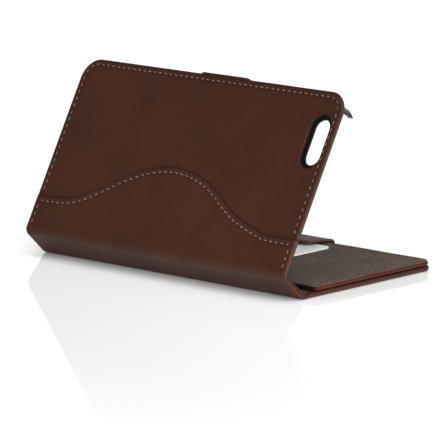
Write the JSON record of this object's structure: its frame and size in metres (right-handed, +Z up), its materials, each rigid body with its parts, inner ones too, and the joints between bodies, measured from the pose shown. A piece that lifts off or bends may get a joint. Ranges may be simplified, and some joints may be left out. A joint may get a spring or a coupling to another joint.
{
  "type": "phone wallet case",
  "caption": "Leather folio case for a phone, half open: back cover with shell and camera window, spine, card pocket cover, closure flaps.",
  "frame": {"origin": "in the middle of the front cover's outer face, on which the case rests", "axes": "+X along the case towards the camera end, +Y from the fold to the front cover's free edge, +Z up, out of the front cover's inner face"},
  "size_m": [0.1436, 0.0831, 0.0749],
  "materials": {
    "leather": "smooth, soft sheen",
    "lining": "brushed microfibre",
    "board": "matt",
    "thread": "waxed thread",
    "dark_thread": "waxed thread",
    "shell": "gloss",
    "tape": "matt",
    "magnet": "plated",
    "card": "coated, soft gloss"
  },
  "bodies": {
    "front_cover": {"front_outer_leather": "leather", "front_board": "board", "front_lining": "lining", "pocket_leather": "leather", "pocket_board": "board", "pocket_facing": "lining", "pocket_stitches": "dark_thread", "card_slot_1": "lining", "card_slot_2": "lining", "card_slot_3": "lining", "front_flap_root": "leather", "front_flap_fold": "leather"},
    "spine": {"spine_leather": "leather", "spine_board": "board", "spine_lining": "lining", "lower_fold_strip": "leather", "upper_fold_strip": "leather"},
    "back_cover": {"back_upper_leather": "leather", "back_wave_leather": "leather", "back_board": "board", "shell_tape": "tape", "phone_shell": "shell", "back_edge_stitches": "thread", "wave_stitches": "thread", "lower_edge_stitches": "thread", "back_flap_root": "leather", "back_flap_fold": "leather"},
    "back_flap": {"back_flap_leather": "leather", "back_flap_magnet": "magnet", "back_flap_lining": "lining"},
    "front_flap": {"front_flap_leather": "leather", "front_flap_magnet": "magnet", "front_flap_lining": "lining"},
    "card": {"insert_card": "card"}
  },
  "joints": [
    {"name": "front_fold", "type": "hinge", "parent": "front_cover", "child": "spine", "pos_m": [0, -0.03615, 0], "axis": [1, 0, 0], "range_deg": [-44.6, 135.4], "deforming": ["lower_fold_strip"]},
    {"name": "back_fold", "type": "hinge", "parent": "spine", "child": "back_cover", "pos_m": [0, -0.04612, 0.01011], "axis": [1, 0, 0], "range_deg": [-16, 164], "deforming": ["upper_fold_strip"]},
    {"name": "back_flap_hinge", "type": "hinge", "parent": "back_cover", "child": "back_flap", "pos_m": [0, -0.00812, 0.07398], "axis": [1, 0, 0], "range_deg": [0, 90], "deforming": ["back_flap_fold"]},
    {"name": "front_flap_hinge", "type": "hinge", "parent": "front_cover", "child": "front_flap", "pos_m": [0, 0.03645, 0.0036], "axis": [-1, 0, 0], "range_deg": [0, 170], "deforming": ["front_flap_fold"]},
    {"name": "card_slide", "type": "slide", "parent": "front_cover", "child": "card", "axis": [1, 0, 0], "range_m": [0, 0.043]}
  ]
}
